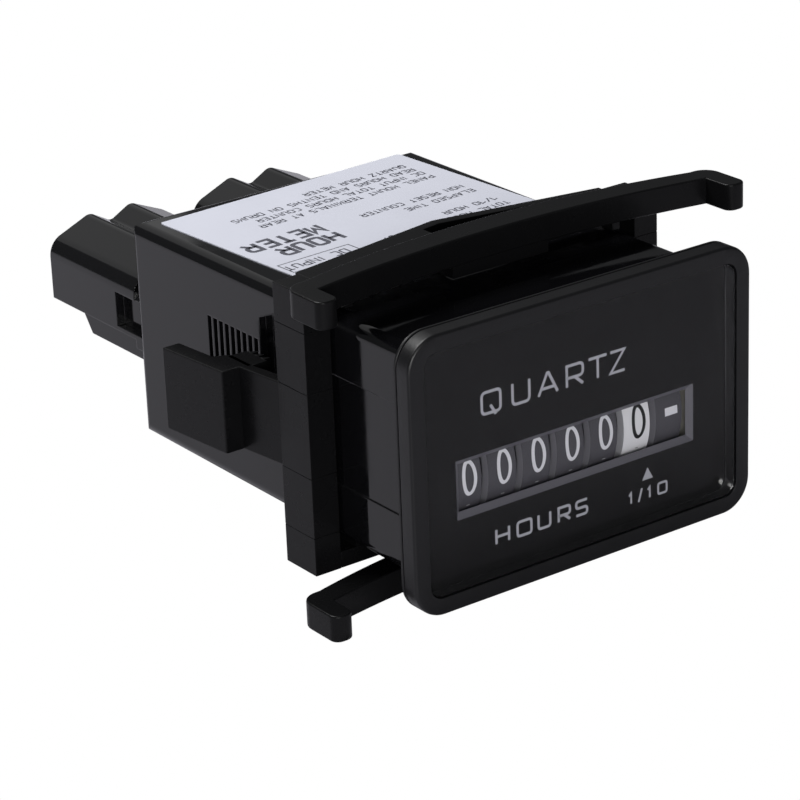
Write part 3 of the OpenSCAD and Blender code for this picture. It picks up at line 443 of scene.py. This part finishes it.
class METER_OT_finishes(bpy.types.Operator):
    """Gives every CAD piece its material"""
    bl_idname = "meter.finishes"
    bl_label = "Finish the CAD pieces"

    def execute(self, context):
        gloss = context.scene.meter.finish.gloss
        kinds = {
            # glass-filled nylon of the housing, gloss from the mould
            "moulded_black": moulded("black_nylon", "#0c0c0e", gloss, grain=0.05, bevel=0.2),
            # the bracket's tougher nylon, a little duller
            "bracket_black": moulded("bracket_nylon", "#111112", gloss + 0.2, grain=0.15, shine=0.16),
            # black screen print on the back of the lens: the smooth acrylic over it gives a soft even shine
            "dial_black": moulded("printed_black", "#101011", 0.2, shine=0.33),
            # polished acrylic over the drums, seen straight through, with bright glints in its side walls
            "clear_lens": clear("clear_acrylic"),
            # white vinyl sticker
            "label_film": moulded("label_vinyl", "#e3e5f1", 0.42, grain=0.02),
            # moulded acetal of the counter's frame, cream and waxy
            "frame_cream": moulded("acetal_cream", "#d9d6cc", 0.45),
            # drum plastic, dark grey, its gear ring painted paler to lift the shade that falls between the drums
            "drum_black": drum("drum_black", "#4c4b51", "#8c8b92"),
            # the same plastic in white for the tenths drum, its gear ring painted darker
            "drum_white": drum("drum_white", "#e6e6ea", "#b9b9be"),
            # undyed acetal of the gears, off-white and waxy
            "gear_natural": moulded("acetal_natural", "#e2ddcf", 0.4),
            # drawn steel of the axles and stator, bright with fine lines
            "steel": metal("drawn_steel", "#c3c6ca", 0.28),
            # pressed ferrite of the rotor, dull dark grey
            "bonded_magnet": moulded("bonded_ferrite", "#3a3a3d", 0.5),
            # the bobbin's blue nylon, satin
            "bobbin_blue": moulded("bobbin_nylon", "#2f4d7a", 0.4),
            # lacquered copper wire, warm with a clear shine
            "enamelled_wire": metal("enamelled_copper", "#b5652b", 0.3),
            # the board's green lacquer, glossy
            "board_green": moulded("solder_mask", "#2c6b45", 0.3),
            # cast epoxy of the chip, dull black
            "chip_black": moulded("chip_epoxy", "#1a1a1c", 0.5),
            # shrunk plastic sleeve of the capacitor, dark blue and glossy
            "can_sleeve": moulded("can_sleeve", "#23304a", 0.25),
            # dipped lacquer of the resistor, tan and glossy
            "resistor_tan": moulded("resistor_lacquer", "#c8b18a", 0.25),
            # stamped and tinned brass of the blades, pale gold with fine lines
            "tinned_brass": metal("tinned_brass", "#d6c489", 0.3),
        }
        # the rim's plastic, satin so that its edges show no hard glints
        moulded("bezel_nylon", "#0e0e10", gloss + 0.3, grain=0.4, marks=SATIN, shine=0.45)
        # pale grey screen ink
        moulded("face_ink", "#b0b0b8", 0.5)
        # hot-stamped figures, matt white on the black drums and black on the white one
        moulded("figure_white", "#e2e2e8", 0.5)
        moulded("figure_black", "#1a1a1d", 0.5)
        # thermal print on vinyl, greyed by its thin strokes
        moulded("label_ink", "#5b5c66", 0.5)
        # sloped edge of the window, moulded in the lens and misty grey
        moulded("window_edge", "#67666d", 0.4)
        for part in frame["record"]["subparts"]:
            mesh = frame["nodes"][part["node"]].data
            mesh.materials.clear()
            mesh.materials.append(kinds[part["material_slot"]])
        return {"FINISHED"}


class METER_OT_bezel(bpy.types.Operator):
    """Builds the bezel's rim, the lens and the bevelled window of the dial"""
    bl_idname = "meter.bezel"
    bl_label = "Build the bezel and lens"

    def execute(self, context):
        _, outer = middle("bezel")
        _, glass = middle("lens")
        _, body = middle("housing")
        dial_low, dial_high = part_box("dial_plate")
        tip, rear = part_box("bezel")[0].y / MM, 0.0
        dial_y, seat_y = dial_low.y / MM, dial_high.y / MM
        edge, gap = context.scene.meter.finish.edge, context.scene.meter.face.lens_gap
        rim_r, lens_r, body_r, body_fit, fine = 4.0, 1.5, 1.6, 0.2, 0.08
        # the lens lies behind the rim's tip and just in front of the dial
        lens_front, lens_rear, lens_edge = tip + 0.1, dial_y - 0.04, 0.1
        w, h = outer.x * 2, outer.z * 2
        lw, lh = glass.x * 2, glass.z * 2
        bm = bmesh.new()
        solid(bm, [rounded(w, h, rim_r, 20), rounded(lw + 2 * gap, lh + 2 * gap, lens_r + gap, 20)], front(tip),
              (0, seat_y - tip, 0), edge * 1.6, 3, inside=0.06)
        solid(bm, [rounded(w, h, rim_r, 20), rounded(body.x * 2 + body_fit, body.z * 2 + body_fit, body_r, 12)],
              front(seat_y), (0, rear - seat_y, 0), fine, 1)
        # four tabs that hold the bezel in the housing
        tab_x, tab_z, tab_half, tab_under, tab_over, tab_rear = 12.5, 13.55, 4.5, 0.4, 0.38, 3.2
        for sx in (-1, 1):
            for sz in (-1, 1):
                x, z = sx * tab_x, sz * tab_z
                block(bm, (x - tab_half, seat_y, z - tab_under), (x + tab_half, tab_rear, z + tab_over), fine, 1)
        finish_piece("bezel_rim", bm, material("bezel_nylon"), BODY, ["bezel"])
        bm = bmesh.new()
        solid(bm, [rounded(lw, lh, lens_r, 20)], front(lens_front), (0, lens_rear - lens_front, 0), lens_edge, 2)
        finish_piece("lens_sheet", bm, material("clear_acrylic"), BODY, ["lens"])
        row, pitch = middle("drum_axle")[0], middle("hours_drum_2")[0].x - middle("hours_drum_1")[0].x
        margin, hole_h, slope = 0.24, 7.2, 0.7
        hole_w = len(DRUMS) * pitch + margin
        shift = [(u, v + row.z) for u, v in rounded(hole_w, hole_h, 0.1, 2)]
        bm = bmesh.new()
        solid(bm, [rounded(lw, lh, lens_r, 20), shift], front(dial_y), (0, seat_y - dial_y, 0))
        finish_piece("dial_mask", bm, material("printed_black"), BODY, ["dial_plate"])
        bm = bmesh.new()
        for sx, sz in ((1, 0), (-1, 0), (0, 1), (0, -1)):
            a, b = hole_w / 2, hole_h / 2
            c, d = a - slope, b - slope
            if sx:
                corners = [(sx * a, b, dial_y), (sx * a, -b, dial_y), (sx * c, -d, seat_y), (sx * c, d, seat_y)]
            else:
                corners = [(a, sz * b, dial_y), (-a, sz * b, dial_y), (-c, sz * d, seat_y), (c, sz * d, seat_y)]
            bm.faces.new([bm.verts.new(Vector((x, y, z + row.z)) * MM) for x, z, y in corners])
        bmesh.ops.recalc_face_normals(bm, faces=bm.faces[:])
        finish_piece("window_bevel", bm, material("window_edge"), BODY, flat=True)
        return {"FINISHED"}


class METER_OT_face_print(bpy.types.Operator):
    """Prints the words and the tenths mark on the face"""
    bl_idname = "meter.face_print"
    bl_label = "Print the face"

    def execute(self, context):
        face = context.scene.meter.face
        film, layer = 0.02, 0.004
        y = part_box("dial_plate")[0].y / MM - film
        bm = bmesh.new()

        def word(chars, places, base, cap, stroke):
            for char, (left, right) in zip(chars, places):
                w = (right - left - stroke) / cap
                # strokes that cross lie a little in front of each other
                for k, (points, closed) in enumerate(glyph(char, w)):
                    placed = [(left + stroke / 2 + u * cap, base + v * cap) for u, v in points]
                    ribbon(bm, placed, stroke, front(y - layer * k), closed)

        word(*LARGE_WORD, face.letter_stroke)
        word(*SMALL_WORD, face.small_stroke)
        word(*TENTHS, face.small_stroke * 0.85)
        bm.faces.new([bm.verts.new(front(y)(u, v)) for u, v in TENTHS_MARK])
        bmesh.ops.recalc_face_normals(bm, faces=bm.faces[:])
        finish_piece("face_print", bm, material("face_ink"), BODY, flat=True)
        return {"FINISHED"}


class METER_OT_figures(bpy.types.Operator):
    """Puts the figures on the drums"""
    bl_idname = "meter.figures"
    bl_label = "Put figures on the drums"

    def execute(self, context):
        face = context.scene.meter.face
        axle, film, shift = middle("drum_axle")[0], 0.02, 0.15
        bars, bar_half, bar_h = 6, 0.95, 1.0
        wide, tall = face.figure_w - face.figure_stroke, face.figure_h - face.figure_stroke
        for name in DRUMS:
            at, half = middle(name)
            radius = half.y + film
            x0 = at.x - shift

            def wrap(turn):
                def put(u, v):
                    a = (v + face.figure_rise) / radius - math.radians(turn)
                    return Vector((x0 + u, axle.y - radius * math.cos(a), axle.z + radius * math.sin(a))) * MM
                return put

            bm = bmesh.new()
            if name == "run_indicator":
                for k in range(bars):
                    ribbon(bm, [(-bar_half, 0), (bar_half, 0)], bar_h, wrap(360 / bars * k))
            else:
                for k in range(10):
                    for points, closed in figure(str(k)):
                        placed = [(u * wide, v * tall) for u, v in points]
                        ribbon(bm, placed, face.figure_stroke, wrap(36 * k), closed)
            bmesh.ops.recalc_face_normals(bm, faces=bm.faces[:])
            ink, slot = ("figure_black", "drum_black") if name == "tenths_drum" else ("figure_white", "drum_white")
            finish_piece(name + "_figures", bm, material(ink), name + "_body", flat=True)
        return {"FINISHED"}


def leaf_outline(half, tip, neck_front, neck_rear):
    """Plan of a bowed leaf spring with its two feet."""
    foot, heel, corner = 2.8, 2.2, 1.1
    front_r, rear_r = 143, 111
    inner = half - foot

    def bow(x, y, r):
        return y - (r - math.sqrt(r * r - x * x))

    heel_y = bow(inner, neck_rear, rear_r)
    xs = [inner - 2 * inner * i / 40 for i in range(41)]
    right = (arc(half - heel, heel_y - heel, heel, heel, 90, 0, 8)
             + arc(half - corner, tip + corner, corner, corner, 0, -90, 5)
             + arc(inner + corner, tip + corner, corner, corner, -90, -180, 5))
    rear = [(-x, bow(x, neck_rear, rear_r)) for x in xs]
    ahead = [(x, bow(x, neck_front, front_r)) for x in xs]
    left = [(-x, y) for x, y in reversed(right)]
    return rear + right + ahead + left


class METER_OT_bracket(bpy.types.Operator):
    """Builds the clip bracket with bevelled edges"""
    bl_idname = "meter.bracket"
    bl_label = "Build the bracket"

    def execute(self, context):
        low, high = (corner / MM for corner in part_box("mounting_bracket"))
        edge = context.scene.meter.finish.edge
        centre, leaf_half, leaf_h = (low.x + high.x) / 2, (high.x - low.x) / 2, 3.3
        # frame: half width, half opening, front and rear, outer and inner height of its plates
        half_w, hole, ahead, rear = 26.0, 22.4, 15.8, 21.8
        top, peak, rib = high.z - leaf_h + 0.2, 4.6, 1.5
        under = top - 2.1
        # release levers: half height, outside at the knee, start and length of the finger pad, ratchet teeth
        lever_z, knee, pad, pad_l = 5.2, half_w + 0.8, 28.5, 11.3
        arm_t, web_t, pad_out, pad_tip, pad_in = 1.8, 1.6, 3.2, 4.2, 1.8
        pawl, pitch, teeth, tooth_h, tooth_l, tooth_tip = 22.4, 1.25, 3, 0.9, 1.0, 0.25
        # leaf springs on their necks, guide ribs, and how far pieces lap into each other
        leaf_front, leaf_rear, neck_half, neck_front = 12.1, 16.0, 7, 13
        seam_z, guide_x, guide_z, guide_half, lap, fine = 12.65, 19.6, 14.25, 0.6, 0.1, 0.1
        bm = bmesh.new()
        for sx in (-1, 1):
            def across(loop):
                return [(centre + sx * u, v) for u, v in loop]

            # the mould's parting lines show as fine grooves between the wall's lengths
            cuts = [-top, -seam_z, -lever_z, lever_z, seam_z, top]
            wall = across([(hole, ahead), (half_w, ahead), (half_w, rear), (hole, rear)])
            for a, b in zip(cuts, cuts[1:]):
                solid(bm, [wall], plan(a), (0, 0, b - a), fine)
            lever = [(half_w - arm_t, rear - 0.3), (half_w, rear - 0.3), (half_w, rear), (knee, pad),
                     (half_w + pad_out, pad), (half_w + pad_tip, pad + pad_l), (half_w + pad_in, pad + pad_l),
                     (knee + 0.4, pad + 5), (knee - web_t, pad + 4), (knee - web_t, pad - 1),
                     (half_w - arm_t, rear)]
            solid(bm, [across(lever)], plan(-lever_z), (0, 0, 2 * lever_z), edge)
            root = [(pawl + 0.8, pad - 0.6), (knee - 0.8, pad - 0.6), (knee - 0.8, pad + teeth * pitch),
                    (pawl + 0.8, pad + teeth * pitch)]
            solid(bm, [across(root)], plan(-lever_z), (0, 0, 2 * lever_z), fine)
            for i in range(teeth):
                y = pad + pitch * i
                tooth = [(pawl, y), (pawl, y + tooth_tip), (pawl + tooth_h, y + tooth_l), (pawl + tooth_h, y)]
                solid(bm, [across(tooth)], plan(-lever_z), (0, 0, 2 * lever_z), 0.04, 1)
        slope = peak / half_w
        for turn in (1, -1):
            def spun(loop):
                return [(centre + turn * u, v) for u, v in loop]

            ridge = rear + peak
            edge_y = ridge - slope * hole
            slot_l, slot_r, slot_y = 2.6, hole - 3, ahead + 3.2
            plate = [(-hole, ahead), (hole, ahead), (hole, edge_y), (0, ridge), (-hole, edge_y)]
            slot = [(-slot_l, slot_y), (slot_r, slot_y), (slot_r, ridge - slope * slot_r - rib),
                    (0, ridge - rib), (-slot_l, ridge - slope * slot_l - rib)]
            solid(bm, [spun(plate), spun(slot)], plan(min(turn * under, turn * top)), (0, 0, top - under), 0.15)
            leaf = leaf_outline(leaf_half, low.y, leaf_front, leaf_rear)
            leaf_low = min(turn * high.z, turn * (high.z - leaf_h))
            solid(bm, [spun(leaf)], plan(leaf_low), (0, 0, leaf_h), edge, 3)
            neck = sorted((turn * under, turn * (top - lap)))
            block(bm, (centre - neck_half, neck_front, neck[0]), (centre + neck_half, ahead + lap, neck[1]), fine)
            for sx in (-1, 1):
                x = centre + sx * guide_x
                rib_z = sorted((turn * guide_z, turn * (under + lap)))
                block(bm, (x - guide_half, ahead + lap, rib_z[0]), (x + guide_half, rear - lap, rib_z[1]), fine)
        finish_piece("bracket_moulding", bm, material("bracket_nylon"), BRACKET,
                     ["mounting_bracket"])
        return {"FINISHED"}


class METER_OT_label_print(bpy.types.Operator):
    """Prints plain lines of words on the label, which is read from behind"""
    bl_idname = "meter.label_print"
    bl_label = "Print the label"

    def execute(self, context):
        at, half = middle("label")
        turn = math.radians(180 + context.scene.meter.face.label_turn)
        film, box_stroke, narrow = 0.01, 0.16, 0.2
        z = at.z + half.z + film
        bm = bmesh.new()

        def put(u, v):
            return Vector((at.x + u * math.cos(turn) - v * math.sin(turn),
                           at.y + u * math.sin(turn) + v * math.cos(turn), z)) * MM

        def line(words, left, base, cap, stroke, wide=0.62, space=0.3):
            x = left
            for char in words:
                w = narrow if char == "I" else wide
                for points, closed in glyph(char, w):
                    ribbon(bm, [(x + u * cap, base + v * cap) for u, v in points], stroke, put, closed)
                x += (w + space) * cap

        for row in LABEL_LINES:
            line(*row)
        ribbon(bm, LABEL_BOX, box_stroke, put, True)
        bmesh.ops.recalc_face_normals(bm, faces=bm.faces[:])
        finish_piece("label_print", bm, material("label_ink"), BODY, flat=True)
        return {"FINISHED"}


def background(tree, plain, seen, gloss_share):
    """Shows the white background to the camera and through clear parts, and a share of it in gloss."""
    path = add(tree, "LightPath").outputs
    gloss = add(tree, "Math", {0: path["Is Glossy Ray"], 1: gloss_share}, operation="MULTIPLY")
    straight = add(tree, "Math", {0: path["Is Camera Ray"], 1: path["Is Transmission Ray"]}, operation="MAXIMUM")
    share = add(tree, "Math", {0: straight.outputs["Value"], 1: gloss.outputs["Value"]}, operation="MAXIMUM")
    both = add(tree, "MixShader", {"Fac": share.outputs["Value"]})
    tree.links.new(plain, both.inputs[1])
    tree.links.new(seen, both.inputs[2])
    return both.outputs["Shader"]


class METER_OT_stage(bpy.types.Operator):
    """Sets the floor, lights, surroundings and camera"""
    bl_idname = "meter.stage"
    bl_label = "Set the stage"

    def execute(self, context):
        scene = context.scene
        settings = scene.meter.stage
        scene.view_settings.view_transform = "Standard"
        floor_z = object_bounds()[0].z - 0.0005
        bm = bmesh.new()
        bmesh.ops.create_grid(bm, x_segments=1, y_segments=1, size=3.0,
                              matrix=Matrix.Translation((0, 0, floor_z)))
        mesh = bpy.data.meshes.new("floor")
        bm.to_mesh(mesh)
        bm.free()
        made, tree, out = start("pale_floor")
        seen = add(tree, "Emission", {"Color": (1, 1, 1, 1), "Strength": 1.0})
        base = add(tree, "BsdfDiffuse", {"Color": (0.5, 0.49, 0.535, 1)})
        shown = background(tree, base.outputs["BSDF"], seen.outputs["Emission"], settings.gloss_share)
        tree.links.new(shown, out.inputs["Surface"])
        mesh.materials.append(made)
        floor = bpy.data.objects.new("floor", mesh)
        scene.collection.objects.link(floor)
        floor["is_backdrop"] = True

        world = bpy.data.worlds.new("studio")
        scene.world = world
        world.use_nodes = True
        tree = world.node_tree
        tree.nodes.clear()
        out = add(tree, "OutputWorld")
        seen = add(tree, "Background", {"Color": (1, 1, 1, 1), "Strength": 1.0})
        room = add(tree, "Background", {"Color": (0.95, 0.97, 1.0, 1), "Strength": 0.08})
        shown = background(tree, room.outputs["Background"], seen.outputs["Background"], settings.gloss_share / 3)
        tree.links.new(shown, out.inputs["Surface"])

        for name, (place, target, size, watts) in LAMPS.items():
            data = bpy.data.lights.new(name, "AREA")
            data.shape = "RECTANGLE"
            data.size, data.size_y = size
            data.energy = watts
            lamp = bpy.data.objects.new(name, data)
            lamp.location = place
            aim = Vector(target) - Vector(place)
            lamp.rotation_mode = "QUATERNION"
            lamp.rotation_quaternion = aim.to_track_quat("-Z", "Y")
            scene.collection.objects.link(lamp)

        a, e, roll = (math.radians(v) for v in (settings.azimuth, settings.elevation, settings.roll))
        back = Vector((math.sin(a) * math.cos(e), -math.cos(a) * math.cos(e), math.sin(e)))
        level = Vector((math.cos(a), math.sin(a), 0))
        upright = back.cross(level)
        right = level * math.cos(roll) + upright * math.sin(roll)
        up = back.cross(right)
        data = bpy.data.cameras.new("camera")
        data.lens, data.sensor_width = settings.lens, 36.0
        data.clip_start, data.clip_end = 0.01, 20
        camera = bpy.data.objects.new("camera", data)
        camera.rotation_mode = "QUATERNION"
        camera.rotation_quaternion = Matrix((right, up, back)).transposed().to_quaternion()
        camera.location = settings.place
        scene.collection.objects.link(camera)
        scene.camera = camera
        return {"FINISHED"}


class METER_PT_panel(bpy.types.Panel):
    """Settings and steps of the meter"""
    bl_label = "Hour meter"
    bl_idname = "METER_PT_panel"
    bl_space_type = "VIEW_3D"
    bl_region_type = "UI"
    bl_category = "Meter"

    def draw(self, context):
        meter = context.scene.meter
        for group in (meter.face, meter.finish, meter.stage):
            box = self.layout.box()
            for key in group.__annotations__:
                box.prop(group, key)
        for step in STEPS:
            self.layout.operator(step.bl_idname)


STEPS = (METER_OT_finishes, METER_OT_bezel, METER_OT_face_print, METER_OT_figures, METER_OT_bracket,
         METER_OT_label_print, METER_OT_stage)
CLASSES = (MeterFace, MeterFinish, MeterStage, MeterSettings) + STEPS + (METER_PT_panel,)


def register():
    for cls in CLASSES:
        bpy.utils.register_class(cls)
    bpy.types.Scene.meter = PointerProperty(type=MeterSettings)


def unregister():
    del bpy.types.Scene.meter
    for cls in reversed(CLASSES):
        bpy.utils.unregister_class(cls)


def main():
    """Builds everything."""
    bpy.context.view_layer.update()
    register()
    for name in ("finishes", "bezel", "face_print", "figures", "bracket", "label_print", "stage"):
        getattr(bpy.ops.meter, name)()


if __name__ == "__main__":
    main()
